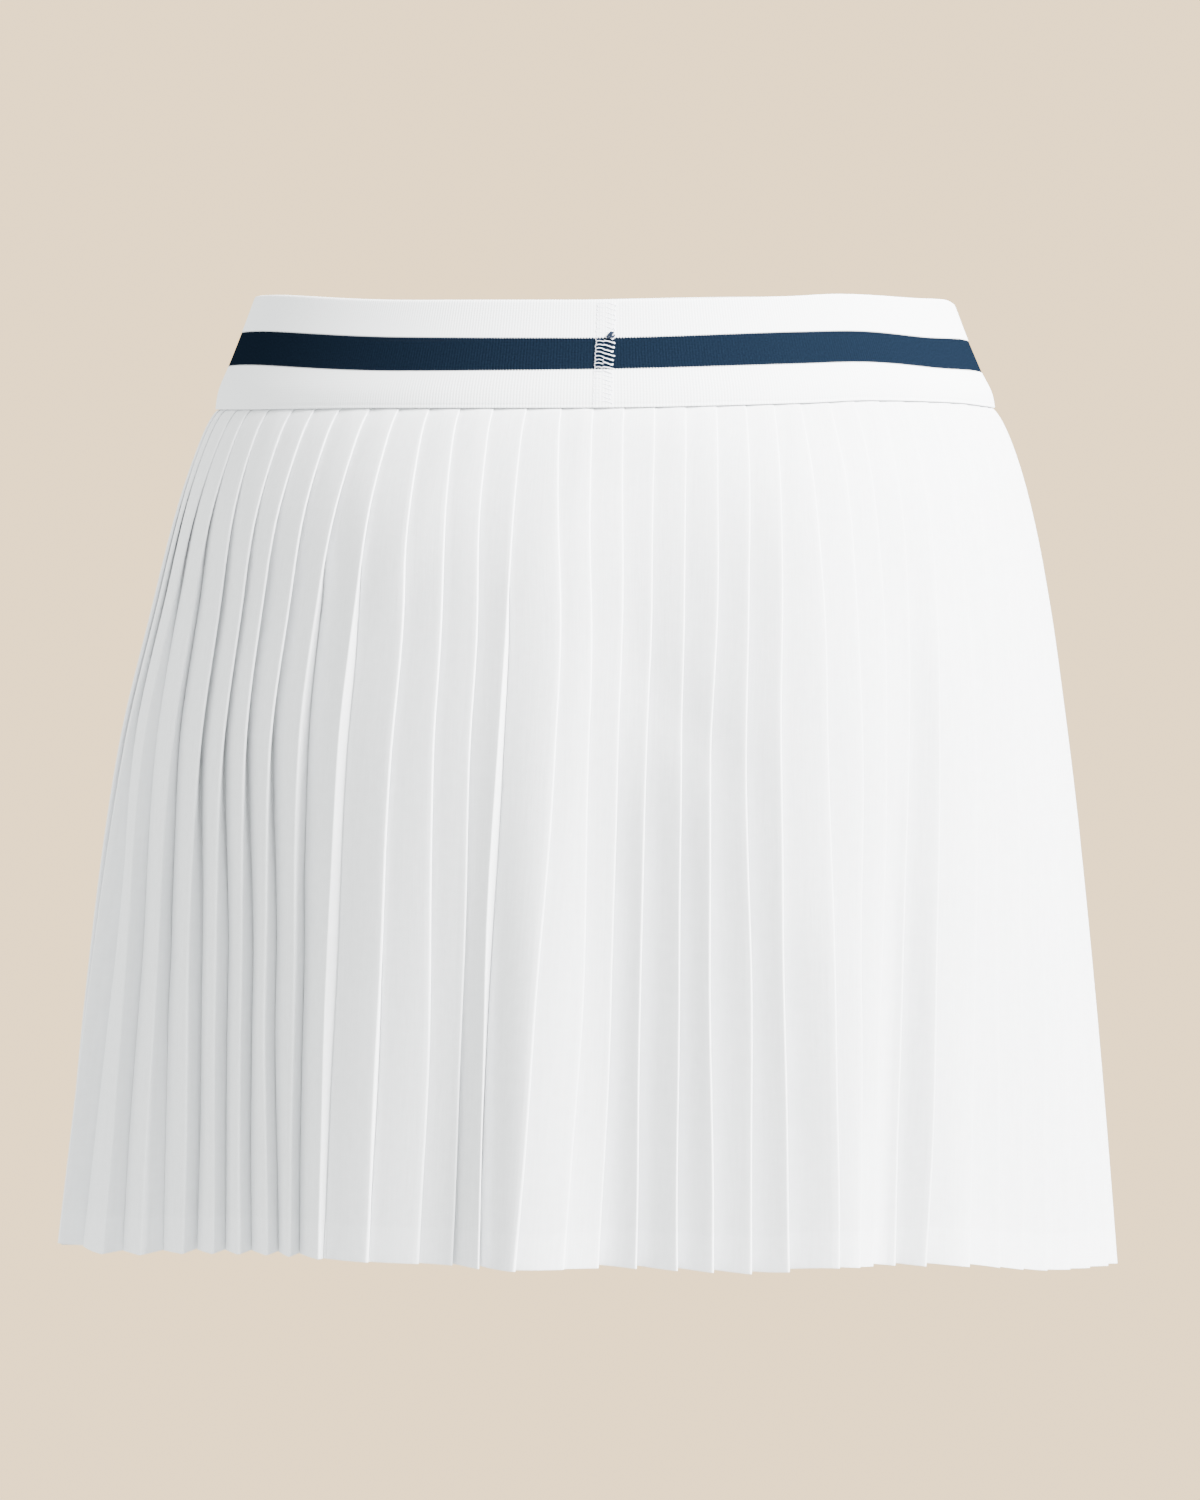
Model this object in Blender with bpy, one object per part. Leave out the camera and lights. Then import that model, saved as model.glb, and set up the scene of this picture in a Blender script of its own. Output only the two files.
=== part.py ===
# Pleated skort: elastic waistband, knife-pleated skirt in two halves, inner shorts in two halves.
# Metres, +Z up. The origin is the middle of the waist opening, halfway up the waistband.
# -Y is the wearer's back, where the waistband is joined, and +X is the wearer's right.
import math

import bmesh
import bpy
import numpy as np

MM = 0.001
SEAM_GAP = 0.3 * MM  # between two sewn pieces
CREASE_ANGLE = math.radians(30)  # faces that meet at more than this are shaded as a crease

BAND_HEIGHT = 42.8 * MM
BAND_WALL = 1.6 * MM
BAND_SIDES = 44
# Outer size of the elastic at each height above its middle. The stripe is woven in between two of them.
STRIPE_TOP = 7.5
STRIPE_BOTTOM = -5.5
BAND_SECTIONS = [
    {"height": 21.4, "half_width": 134.8, "half_depth": 97.0},
    {"height": STRIPE_TOP, "half_width": 140.0, "half_depth": 100.8},
    {"height": STRIPE_BOTTOM, "half_width": 145.2, "half_depth": 104.6},
    {"height": -15.5, "half_width": 149.3, "half_depth": 107.8},
    {"height": -21.4, "half_width": 150.3, "half_depth": 109.0},
]

SKIRT_LENGTH = 323.0 * MM
SKIRT_WALL = 1.0 * MM
FOLD_REACH = 3.9 * MM  # how far from a fold its two layers stay joined
PANEL_WIDTH = 22.2 * MM  # cloth from an inner fold to the next outer fold
RETURN_WIDTH = 9.5 * MM  # cloth from an outer fold back under it to the inner fold
PRESSED_DEPTH = 3.4 * MM  # from an outer fold to the inner one where the pleats are sewn flat
PANEL_BOW = 0.46  # share of that depth at the middle of a panel
LAYER_ROOM = 1.3 * MM  # between the middles of two layers that lie on each other
FREE_DROP = 40.0 * MM  # below the seam by this much, the pleats open as they hang
HEM_DIP = 7.0 * MM  # how much lower the hem hangs at the right side

# Outline of the pleated skirt at each drop below the waistband: half width, depth to the back and to
# the front, how far it swings sideways, and how far each side is pinched flat between back and front.
SKIRT_SECTIONS = [
    {"drop": 0, "half_width": 150.9, "back": 109.6, "front": 109.6,
     "swing": 0, "pinch_left": 0, "pinch_right": 0},
    {"drop": 12, "half_width": 156.3, "back": 115, "front": 112,
     "swing": 0, "pinch_left": 0, "pinch_right": 0},
    {"drop": 36, "half_width": 164.2, "back": 123, "front": 117,
     "swing": -0.4, "pinch_left": 0, "pinch_right": 0},
    {"drop": 75, "half_width": 173.2, "back": 132, "front": 123,
     "swing": -1.5, "pinch_left": 0.08, "pinch_right": 0.04},
    {"drop": 130, "half_width": 183.6, "back": 139, "front": 128,
     "swing": -4.2, "pinch_left": 0.2, "pinch_right": 0.1},
    {"drop": 220, "half_width": 194.8, "back": 145, "front": 133,
     "swing": -5.8, "pinch_left": 0.45, "pinch_right": 0.2},
    {"drop": 323, "half_width": 205.4, "back": 149, "front": 137,
     "swing": -7.2, "pinch_left": 0.62, "pinch_right": 0.3},
]

# Outer folds of the back half from its left side to its right side, in mm from the centre back, at the
# seam and at three drops below it. Where two neighbours spread, the pleat between them hangs open.
FOLD_DROPS = {"seam": 0, "hip": 112, "thigh": 220, "hem": 323}
BACK_FOLDS = [
    {"seam": -145.5, "hip": -181.0, "thigh": -198.5, "hem": -211.0},
    {"seam": -140.5, "hip": -174.0, "thigh": -184.5, "hem": -193.0},
    {"seam": -135.0, "hip": -163.5, "thigh": -172.0, "hem": -178.0},
    {"seam": -127.5, "hip": -152.5, "thigh": -159.5, "hem": -162.5},
    {"seam": -118.0, "hip": -143.5, "thigh": -149.5, "hem": -150.0},
    {"seam": -109.5, "hip": -135.5, "thigh": -139.0, "hem": -139.0},
    {"seam": -100.0, "hip": -125.5, "thigh": -129.0, "hem": -128.0},
    {"seam": -88.5, "hip": -114.0, "thigh": -117.5, "hem": -118.0},
    {"seam": -77.5, "hip": -98.5, "thigh": -103.5, "hem": -105.0},
    {"seam": -66.0, "hip": -79.0, "thigh": -84.0, "hem": -89.0},
    {"seam": -54.5, "hip": -63.5, "thigh": -67.0, "hem": -72.0},
    {"seam": -42.0, "hip": -50.5, "thigh": -55.0, "hem": -59.5},
    {"seam": -29.5, "hip": -39.5, "thigh": -45.5, "hem": -48.0},
    {"seam": -16.5, "hip": -17.5, "thigh": -26.0, "hem": -33.5},
    {"seam": -4.5, "hip": -6.0, "thigh": -8.5, "hem": -16.0},
    {"seam": 7.0, "hip": 5.5, "thigh": 3.0, "hem": -2.5},
    {"seam": 18.5, "hip": 17.0, "thigh": 14.0, "hem": 13.0},
    {"seam": 30.0, "hip": 29.5, "thigh": 29.0, "hem": 28.5},
    {"seam": 41.5, "hip": 41.0, "thigh": 40.5, "hem": 41.0},
    {"seam": 52.5, "hip": 53.5, "thigh": 54.5, "hem": 54.5},
    {"seam": 63.0, "hip": 65.5, "thigh": 66.0, "hem": 67.5},
    {"seam": 73.0, "hip": 81.5, "thigh": 83.0, "hem": 83.0},
    {"seam": 84.0, "hip": 94.5, "thigh": 92.0, "hem": 91.5},
    {"seam": 93.5, "hip": 104.5, "thigh": 102.0, "hem": 99.5},
    {"seam": 103.0, "hip": 114.5, "thigh": 112.0, "hem": 108.5},
    {"seam": 112.5, "hip": 125.5, "thigh": 122.5, "hem": 118.5},
    {"seam": 122.0, "hip": 140.0, "thigh": 139.0, "hem": 134.5},
    {"seam": 130.5, "hip": 148.5, "thigh": 150.5, "hem": 148.0},
    {"seam": 137.5, "hip": 156.5, "thigh": 163.0, "hem": 158.0},
    {"seam": 143.5, "hip": 163.0, "thigh": 170.5, "hem": 167.5},
    {"seam": 148.0, "hip": 168.5, "thigh": 178.0, "hem": 174.5},
    {"seam": 150.5, "hip": 173.5, "thigh": 184.0, "hem": 181.0},
]
FRONT_FOLD_COUNT = 34  # even along the front half

SHORTS_WALL = 1.2 * MM
SHORTS_COLUMNS = 22
# Each leg of the shorts is cut off at the centre plane down to the crotch. Centre and half sizes of
# the leg's oval at each drop below the waistband, and how far the oval sits towards the back.
SHORTS_SECTIONS = [
    {"drop": -8, "centre": 0, "half_width": 146.5, "half_depth": 105.1, "set_back": 0},
    {"drop": 2, "centre": 0, "half_width": 145.5, "half_depth": 104.2, "set_back": 0},
    {"drop": 45, "centre": 8, "half_width": 141, "half_depth": 108, "set_back": 1},
    {"drop": 95, "centre": 24, "half_width": 130, "half_depth": 110, "set_back": 3},
    {"drop": 140, "centre": 44, "half_width": 111, "half_depth": 107, "set_back": 5},
    {"drop": 180, "centre": 62, "half_width": 93, "half_depth": 103, "set_back": 4},
    {"drop": 208, "centre": 75, "half_width": 79.5, "half_depth": 99, "set_back": 3},
    {"drop": 226, "centre": 78.3, "half_width": 78, "half_depth": 96, "set_back": 3},
    {"drop": 292, "centre": 81, "half_width": 72, "half_depth": 88, "set_back": 2},
]

BAND_WHITE = (0.86, 0.86, 0.85)
STRIPE_NAVY = (0.018, 0.045, 0.100)
SKIRT_WHITE = (0.88, 0.88, 0.88)
SHORTS_WHITE = (0.84, 0.84, 0.84)


def clear_scene():
    for thing in list(bpy.data.objects):
        bpy.data.objects.remove(thing, do_unlink=True)


def fabric(name, colour, roughness):
    material = bpy.data.materials.new(name)
    material.use_nodes = True
    shader = material.node_tree.nodes["Principled BSDF"]
    shader.inputs["Base Color"].default_value = (*colour, 1.0)
    shader.inputs["Roughness"].default_value = roughness
    shader.inputs["Metallic"].default_value = 0.0
    return material


def finish(name, mesh_data, materials):
    """Make a closed wall with its faces outwards into a smooth-shaded object with the given finishes."""
    bmesh.ops.recalc_face_normals(mesh_data, faces=mesh_data.faces)
    mesh = bpy.data.meshes.new(name)
    mesh_data.to_mesh(mesh)
    mesh_data.free()
    for material in materials:
        mesh.materials.append(material)
    mesh.shade_smooth()
    mesh.set_sharp_from_angle(angle=CREASE_ANGLE)
    piece = bpy.data.objects.new(name, mesh)
    bpy.context.collection.objects.link(piece)
    return piece


def between(rows, drop, key, column):
    """Read one column of a table at any drop, straight between its rows."""
    return float(np.interp(drop, [row[key] for row in rows], [row[column] for row in rows]))


def split_quad(data, upper_left, upper_right, lower_right, lower_left, rising=True):
    """Make a quad from two triangles along a chosen diagonal, so that both sides of a wall match."""
    if rising:
        data.faces.new([upper_left, upper_right, lower_left])
        data.faces.new([upper_right, lower_right, lower_left])
    else:
        data.faces.new([upper_left, upper_right, lower_right])
        data.faces.new([upper_left, lower_right, lower_left])


def wall_between(outer, inner, closed):
    """Join two grids of points, a row for each ring, into one closed wall.

    A closed row runs all round. An open row ends at a seam edge at both its first and its last point.
    """
    data = bmesh.new()
    last = len(outer[0]) - 1
    grids = []
    for grid in (outer, inner):
        rows = [row[:-1] if shut else row for row, shut in zip(grid, closed)]
        grids.append([[data.verts.new(point) for point in row] for row in rows])

    def corner(side, row, column):
        return grids[side][row][0 if closed[row] and column == last else column]

    for row in range(len(outer) - 1):
        for column in range(last):
            for side in (0, 1):
                split_quad(data, corner(side, row, column), corner(side, row, column + 1),
                           corner(side, row + 1, column + 1), corner(side, row + 1, column))
        if not closed[row]:
            for column in (0, last):
                data.faces.new([corner(0, row, column), corner(0, row + 1, column),
                                corner(1, row + 1, column), corner(1, row, column)])
    for row in (0, len(outer) - 1):
        for column in range(last):
            data.faces.new([corner(0, row, column), corner(0, row, column + 1),
                            corner(1, row, column + 1), corner(1, row, column)])
    return data


# Waistband -----------------------------------------------------------------------------------------

def band_ring(section, inset):
    """One closed oval of the elastic, its first point repeated at the end."""
    ring = []
    for step in range(BAND_SIDES + 1):
        turn = 2 * math.pi * step / BAND_SIDES
        ring.append((
            (section["half_width"] * MM - inset) * math.cos(turn),
            (section["half_depth"] * MM - inset) * math.sin(turn),
            section["height"] * MM,
        ))
    return ring


def make_waistband():
    outer = [band_ring(section, 0) for section in BAND_SECTIONS]
    inner = [band_ring(section, BAND_WALL) for section in BAND_SECTIONS]
    data = wall_between(outer, inner, [True] * len(outer))
    for face in data.faces:
        spot = face.calc_center_median()
        in_stripe = STRIPE_BOTTOM * MM < spot.z < STRIPE_TOP * MM
        face.material_index = 1 if in_stripe and outside_of_band(spot) else 0
    finishes = [fabric("elastic_white", BAND_WHITE, 0.8), fabric("elastic_navy", STRIPE_NAVY, 0.7)]
    return finish("waistband", data, finishes)


def outside_of_band(spot):
    """True on the elastic's outer face, whose oval is wider than the oval through its middle."""
    width = between(BAND_SECTIONS[::-1], spot.z / MM, "height", "half_width") * MM - BAND_WALL / 2
    depth = between(BAND_SECTIONS[::-1], spot.z / MM, "height", "half_depth") * MM - BAND_WALL / 2
    return math.hypot(spot.x / width, spot.y / depth) > 1.0


# Pleated skirt -------------------------------------------------------------------------------------

class Outline:
    """The skirt's outer edge at one drop, seen from above, measured by length from its left side."""

    SAMPLES = 2880

    def __init__(self, drop):
        self.drop = drop
        size = {name: between(SKIRT_SECTIONS, drop, "drop", name) for name in SKIRT_SECTIONS[0]}
        self.half_width = size["half_width"] * MM
        self.swing = size["swing"] * MM
        turn = np.linspace(0, 2 * math.pi, self.SAMPLES + 1)
        across = -np.cos(turn)
        depth = np.where(np.sin(turn) > 0, size["back"], size["front"]) * MM
        pinch = np.where(across < 0, size["pinch_left"], size["pinch_right"])
        self.x = self.swing + self.half_width * across
        self.y = -depth * np.sin(turn) * (1 - pinch * across**2)
        steps = np.hypot(np.diff(self.x), np.diff(self.y))
        self.length = np.concatenate([[0], np.cumsum(steps)])
        self.around = self.length[-1]

    def point(self, at):
        """The point at a length along the edge, going from the left over the back to the right."""
        at = at % self.around
        return np.array([np.interp(at, self.length, self.x), np.interp(at, self.length, self.y)])

    def inside(self, at, depth):
        """A point that lies some depth inside the edge."""
        reach = 3 * MM
        along = self.point(at + reach) - self.point(at - reach)
        along /= np.hypot(*along)
        return self.point(at) + depth * np.array([-along[1], along[0]])

    def at_back(self, x):
        """The length at which the back of the edge stands at x."""
        half = self.SAMPLES // 2 + 1
        return float(np.interp(x, self.x[:half], self.length[:half]))


def fold_places(outline):
    """Lengths of all outer folds along an outline, the back's from the table and the front's even."""
    levels = list(FOLD_DROPS)
    drops = [FOLD_DROPS[level] for level in levels]
    widths = [between(SKIRT_SECTIONS, drop, "drop", "half_width") for drop in drops]
    swings = [between(SKIRT_SECTIONS, drop, "drop", "swing") for drop in drops]
    places = []
    for fold in BACK_FOLDS:
        shares = [(fold[level] - swing) / width for level, width, swing in zip(levels, widths, swings)]
        share = float(np.interp(outline.drop, drops, shares))
        places.append(outline.at_back(outline.swing + outline.half_width * share))
    front_pitch = (places[0] + outline.around - places[-1]) / (FRONT_FOLD_COUNT + 1)
    for number in range(1, FRONT_FOLD_COUNT + 1):
        places.append(places[len(BACK_FOLDS) - 1] + number * front_pitch)
    return places


def pleat_opening(pitch, freedom):
    """Depth of a pleat and how far its return runs back, from its cloth and the pitch it hangs at.

    Freedom runs from 0 at the seam, where every pleat is sewn flat, to 1 where it opens as it hangs.
    """
    foot = (PANEL_WIDTH**2 + pitch**2 - RETURN_WIDTH**2) / (2 * pitch)
    hanging_depth = math.sqrt(max(PANEL_WIDTH**2 - foot**2, PRESSED_DEPTH**2))
    pressed_back = math.sqrt(RETURN_WIDTH**2 - PRESSED_DEPTH**2)
    hanging_back = foot - pitch if hanging_depth > PRESSED_DEPTH else pressed_back
    depth = PRESSED_DEPTH + freedom * (hanging_depth - PRESSED_DEPTH)
    return depth, pressed_back + freedom * (hanging_back - pressed_back)


def inner_folds(folds, outline):
    """Place along the outline and depth of the inner fold that follows each outer fold.

    An inner fold is pushed deeper where it would meet the panel that lies over it.
    """
    total = len(folds)
    freedom = min(1.0, outline.drop * MM / FREE_DROP)
    pitches = [(folds[(n + 1) % total] - folds[n]) % outline.around for n in range(total)]
    inner = [pleat_opening(pitch, freedom) for pitch in pitches]
    for number in list(range(total)) * 2:
        depth_before, back_before = inner[number - 1]
        depth, back = inner[number]
        half_panel = (pitches[number - 1] + back_before) / 2
        over = PANEL_BOW * depth_before * max(back, 0) / half_panel
        least = min(over + LAYER_ROOM, RETURN_WIDTH)
        if depth < least:
            inner[number] = (least, math.sqrt(RETURN_WIDTH**2 - least**2))
    return [(fold - back, depth) for fold, (depth, back) in zip(folds, inner)]


def pleat_line(outline, first, count):
    """Middle line of the cloth over a run of pleats, from the seam before them to the seam after them."""
    folds = fold_places(outline)
    hidden = inner_folds(folds, outline)
    total = len(folds)

    def outer_point(number):
        return outline.inside(folds[number % total], SKIRT_WALL / 2)

    def inner_point(number):
        at, depth = hidden[number % total]
        return outline.inside(at, SKIRT_WALL / 2 + depth)

    def panel_point(number):
        at, depth = hidden[(number - 1) % total]
        half_panel = (folds[number % total] - at) % outline.around / 2
        return outline.inside(at + half_panel, SKIRT_WALL / 2 + PANEL_BOW * depth)

    def seam_point(number):
        return (outer_point(number) + inner_point(number)) / 2

    line = [("end", seam_point(first - 1))]
    for number in range(first, first + count):
        line.append(("inner", inner_point(number - 1)))
        line.append(("flat", panel_point(number)))
        line.append(("outer", outer_point(number)))
    line.append(("end", seam_point(first + count - 1)))
    return line


def wall_corners(line):
    """Corners of the wall on its left and on its right at each point, two on the far side of a fold."""
    half = SKIRT_WALL / 2
    points = [point for _, point in line]
    runs = [b - a for a, b in zip(points, points[1:])]
    runs = [run / np.hypot(*run) for run in runs]
    normals = [np.array([-run[1], run[0]]) for run in runs]
    points[0] = points[0] + runs[0] * SEAM_GAP / 2
    points[-1] = points[-1] - runs[-1] * SEAM_GAP / 2
    left = [[points[0] + half * normals[0]]]
    right = [[points[0] - half * normals[0]]]
    for number in range(1, len(points) - 1):
        kind = line[number][0]
        before, after = normals[number - 1], normals[number]
        point = points[number]
        mitre = half * (before + after) / (1 + float(before @ after))
        mitre *= min(1.0, FOLD_REACH / float(np.hypot(*mitre)))
        left.append([point + half * before, point + half * after] if kind == "inner" else [point + mitre])
        right.append([point - half * before, point - half * after] if kind == "outer" else [point - mitre])
    left.append([points[-1] + half * normals[-1]])
    right.append([points[-1] - half * normals[-1]])
    return left, right


def ring_height(drop, x):
    """Height of the cloth at a drop: level at the seam, lower towards the right side at the hem."""
    dip = HEM_DIP * max(0.0, x / (SKIRT_SECTIONS[-1]["half_width"] * MM))**3
    fall = drop * MM / SKIRT_LENGTH
    return -BAND_HEIGHT / 2 - SEAM_GAP - drop * MM - dip * fall


def make_skirt_half(name, first, count):
    data = bmesh.new()
    rings = []
    for section in SKIRT_SECTIONS:
        drop = section["drop"]
        line = pleat_line(Outline(drop), first, count)
        rings.append([
            [[data.verts.new((x, y, ring_height(drop, x))) for x, y in corner] for corner in side]
            for side in wall_corners(line)
        ])
    kinds = [kind for kind, _ in line]
    last = len(kinds) - 1
    for upper, lower in zip(rings, rings[1:]):
        for above, below in zip(upper, lower):
            for number in range(last):
                forwards = kinds[number] != "outer" and kinds[number + 1] != "inner"
                split_quad(data, above[number][-1], above[number + 1][0],
                           below[number + 1][0], below[number][-1], forwards)
            for over, under in zip(above, below):
                if len(over) == 2:
                    split_quad(data, *over, *under[::-1])
        for end in (0, last):
            split_quad(data, upper[0][end][0], upper[1][end][0], lower[1][end][0], lower[0][end][0])
    for left, right in (rings[0], rings[-1]):
        for number in range(last):
            data.faces.new([left[number][-1], left[number + 1][0], right[number + 1][0], right[number][-1]])
        for near, far in zip(left[1:-1], right[1:-1]):
            if len(near) + len(far) == 3:
                data.faces.new(near + far[::-1])
    return finish(name, data, [fabric(name + "_cloth", SKIRT_WHITE, 0.85)])


# Inner shorts --------------------------------------------------------------------------------------

def leg_ring(section, side, inset):
    """One ring of a leg, from the centre seam at the back, round the outside, to the one at the front."""
    half_gap = SEAM_GAP / 2
    centre = section["centre"] * MM
    width = section["half_width"] * MM - inset
    depth = section["half_depth"] * MM - inset
    turn_end = math.acos(max(-1.0, -(centre - half_gap) / (section["half_width"] * MM)))
    ring = []
    for step in range(SHORTS_COLUMNS + 1):
        turn = turn_end * (2 * step / SHORTS_COLUMNS - 1)
        ring.append((
            side * (centre + width * math.cos(turn)),
            depth * math.sin(turn) - section["set_back"] * MM,
            -BAND_HEIGHT / 2 - section["drop"] * MM,
        ))
    return ring


def make_shorts_half(name, side):
    outer = [leg_ring(section, side, 0) for section in SHORTS_SECTIONS]
    inner = [leg_ring(section, side, SHORTS_WALL) for section in SHORTS_SECTIONS]
    closed = [section["centre"] > section["half_width"] for section in SHORTS_SECTIONS]
    data = wall_between(outer, inner, closed)
    return finish(name, data, [fabric(name + "_knit", SHORTS_WHITE, 0.75)])


clear_scene()
make_waistband()
make_skirt_half("skirt_back", 0, len(BACK_FOLDS))
make_skirt_half("skirt_front", len(BACK_FOLDS), FRONT_FOLD_COUNT)
make_shorts_half("shorts_left", -1)
make_shorts_half("shorts_right", 1)
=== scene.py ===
import math

import bpy
import numpy as np
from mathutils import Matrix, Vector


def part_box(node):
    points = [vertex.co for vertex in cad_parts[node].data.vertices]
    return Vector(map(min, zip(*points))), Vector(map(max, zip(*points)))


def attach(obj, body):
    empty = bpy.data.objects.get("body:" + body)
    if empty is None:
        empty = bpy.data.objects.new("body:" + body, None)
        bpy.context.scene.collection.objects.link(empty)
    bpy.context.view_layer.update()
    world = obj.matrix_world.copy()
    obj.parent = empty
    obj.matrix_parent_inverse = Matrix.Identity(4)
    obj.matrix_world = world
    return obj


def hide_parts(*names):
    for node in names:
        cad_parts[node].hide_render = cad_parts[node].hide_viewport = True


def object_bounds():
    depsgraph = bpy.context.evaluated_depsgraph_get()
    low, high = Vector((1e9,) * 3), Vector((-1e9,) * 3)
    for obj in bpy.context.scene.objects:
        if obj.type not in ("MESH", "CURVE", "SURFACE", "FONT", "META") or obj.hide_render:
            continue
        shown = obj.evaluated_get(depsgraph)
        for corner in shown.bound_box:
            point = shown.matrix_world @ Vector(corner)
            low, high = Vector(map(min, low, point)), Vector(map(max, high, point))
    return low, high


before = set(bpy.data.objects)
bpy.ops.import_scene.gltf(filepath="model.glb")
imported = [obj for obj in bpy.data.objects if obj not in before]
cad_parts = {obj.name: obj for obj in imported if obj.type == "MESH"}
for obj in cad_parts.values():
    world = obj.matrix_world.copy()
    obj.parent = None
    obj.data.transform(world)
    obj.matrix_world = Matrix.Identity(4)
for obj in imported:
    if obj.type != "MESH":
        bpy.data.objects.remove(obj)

# Pleated skort: striped elastic waistband, knife-pleated skirt in two halves, inner shorts in two halves.
# The wearer's back faces -Y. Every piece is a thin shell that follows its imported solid.

cadLow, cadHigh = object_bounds()
bandLow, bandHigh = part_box("waistband")
bandWidth = 300.6                       # millimetres across the band's lower edge
mm = (bandHigh.x - bandLow.x) / bandWidth
bandFoot = bandLow.z                    # height of the waistband's lower edge
print("frame loaded, box", [round(v, 4) for v in cadHigh - cadLow])


# helpers for tables and shells

def table(columns, *rows):
    # rows of numbers as dictionaries, each number under its column's name
    return [dict(zip(columns.split(), row)) for row in rows]


def smoothColumn(rows, key, column, spots):
    # a smooth curve through one column of a table, which never swings past its rows
    x = np.array([row[key] for row in rows], float)
    y = np.array([row[column] for row in rows], float)
    span = np.diff(x)
    slope = np.diff(y) / span
    tangent = np.zeros(len(x))
    tangent[0], tangent[-1] = slope[0], slope[-1]
    for n in range(1, len(x) - 1):
        if slope[n - 1] * slope[n] > 0:
            heavy, light = 2 * span[n] + span[n - 1], span[n] + 2 * span[n - 1]
            tangent[n] = (heavy + light) / (heavy / slope[n - 1] + light / slope[n])
    spots = np.clip(spots, x[0], x[-1])
    left = np.clip(np.searchsorted(x, spots, side="right") - 1, 0, len(x) - 2)
    t = (spots - x[left]) / span[left]
    return (y[left] * (1 + 2 * t) * (1 - t)**2 + y[left + 1] * t**2 * (3 - 2 * t)
            + span[left] * (tangent[left] * t * (1 - t)**2 - tangent[left + 1] * t**2 * (1 - t)))


def ease(value, start, end):
    t = np.clip((value - start) / (end - start), 0, 1)
    return t * t * (3 - 2 * t)


def softFolds(rows, across, drop):
    # sum of soft ridges (height above 0) and troughs (below 0), each a long oval leaning by some degrees
    total = np.zeros(np.broadcast(across, drop).shape)
    for row in rows:
        lean = math.radians(row["lean"])
        dx, dz = across - row["across"], drop - row["drop"]
        along = dz * math.cos(lean) + dx * math.sin(lean)
        aside = dx * math.cos(lean) - dz * math.sin(lean)
        total = total + row["height"] * np.exp(-(along / row["length"])**2 - (aside / row["width"])**2)
    return total


def buildShell(name, outside, inside, closed, around, down, marks=None):
    # a closed wall between two grids of points; a closed row's last point repeats its first
    rows, columns = outside.shape[:2]
    last = columns - 1
    points = np.concatenate([outside.reshape(-1, 3), inside.reshape(-1, 3)])
    uvs = np.stack([np.tile(around.reshape(-1), 2), np.tile(down.reshape(-1), 2)], 1)
    number = np.arange(rows * columns).reshape(rows, columns)
    joined = number.copy()
    joined[closed, last] = number[closed, 0]
    inner = rows * columns
    corners, places = [], []

    def addFaces(*spots, offsets):
        for grid, faces in ((joined, corners), (number, places)):
            faces.append(np.stack([grid[spot].reshape(-1) + n for spot, n in zip(spots, offsets)], 1))

    up, low, left, right = slice(0, rows - 1), slice(1, rows), slice(0, last), slice(1, columns)
    addFaces((up, left), (low, left), (low, right), (up, right), offsets=(0, 0, 0, 0))
    addFaces((up, left), (up, right), (low, right), (low, left), offsets=(inner,) * 4)
    addFaces((0, left), (0, right), (0, right), (0, left), offsets=(0, 0, inner, inner))
    addFaces((-1, left), (-1, left), (-1, right), (-1, right), offsets=(0, inner, inner, 0))
    rim = np.flatnonzero(~closed[:-1])
    if len(rim):
        addFaces((rim, 0), (rim, 0), (rim + 1, 0), (rim + 1, 0), offsets=(0, inner, inner, 0))
        addFaces((rim, last), (rim + 1, last), (rim + 1, last), (rim, last), offsets=(0, 0, inner, inner))
    corners, places = np.concatenate(corners), np.concatenate(places)
    used, flat = np.unique(corners, return_inverse=True)
    mesh = bpy.data.meshes.new(name)
    mesh.from_pydata(points[used].tolist(), [], flat.reshape(-1, 4).tolist())
    layer = mesh.uv_layers.new(name="cloth")
    layer.data.foreach_set("uv", uvs[places.reshape(-1)].astype(np.float32).reshape(-1))
    for title, values in (marks or {}).items():
        mark = mesh.attributes.new(title, "FLOAT", "POINT")
        mark.data.foreach_set("value", np.tile(values.reshape(-1), 2)[used].astype(np.float32))
    mesh.validate()
    piece = bpy.data.objects.new(name, mesh)
    bpy.context.collection.objects.link(piece)
    smoothPiece(piece, 60)
    return piece


def deselectAll():
    for thing in bpy.context.selected_objects:
        thing.select_set(False)


def smoothPiece(piece, degrees):
    deselectAll()
    piece.select_set(True)
    bpy.context.view_layer.objects.active = piece
    bpy.ops.object.shade_smooth_by_angle(angle=math.radians(degrees))
    piece.select_set(False)


deselectAll()


# materials

def newMaterial(name, inputs):
    # a material whose Principled shader starts with these inputs
    material = bpy.data.materials.new(name)
    material.use_nodes = True
    shader = material.node_tree.nodes["Principled BSDF"]
    for title, value in inputs.items():
        shader.inputs[title].default_value = value
    return material, material.node_tree, shader


def addNode(tree, kind, **settings):
    node = tree.nodes.new(kind)
    for key, value in settings.items():
        setattr(node, key, value)
    return node


def mathNode(tree, operation, first, second=None, third=None):
    node = addNode(tree, "ShaderNodeMath", operation=operation)
    for socket, value in zip(node.inputs, (first, second, third)):
        if value is None:
            continue
        if isinstance(value, (int, float)):
            socket.default_value = value
        else:
            tree.links.new(value, socket)
    return node.outputs[0]


def noiseNode(tree, vector, scale, detail=2.0):
    noise = addNode(tree, "ShaderNodeTexNoise")
    noise.inputs["Scale"].default_value = scale
    noise.inputs["Detail"].default_value = detail
    tree.links.new(vector, noise.inputs["Vector"])
    return noise.outputs["Fac"]


def rangeNode(tree, value, start, end, low=0.0, high=1.0):
    # a smooth step from one value to another
    step = addNode(tree, "ShaderNodeMapRange", interpolation_type="SMOOTHSTEP")
    tree.links.new(value, step.inputs["Value"])
    for title, number in (("From Min", start), ("From Max", end), ("To Min", low), ("To Max", high)):
        step.inputs[title].default_value = number
    return step.outputs[0]


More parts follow.
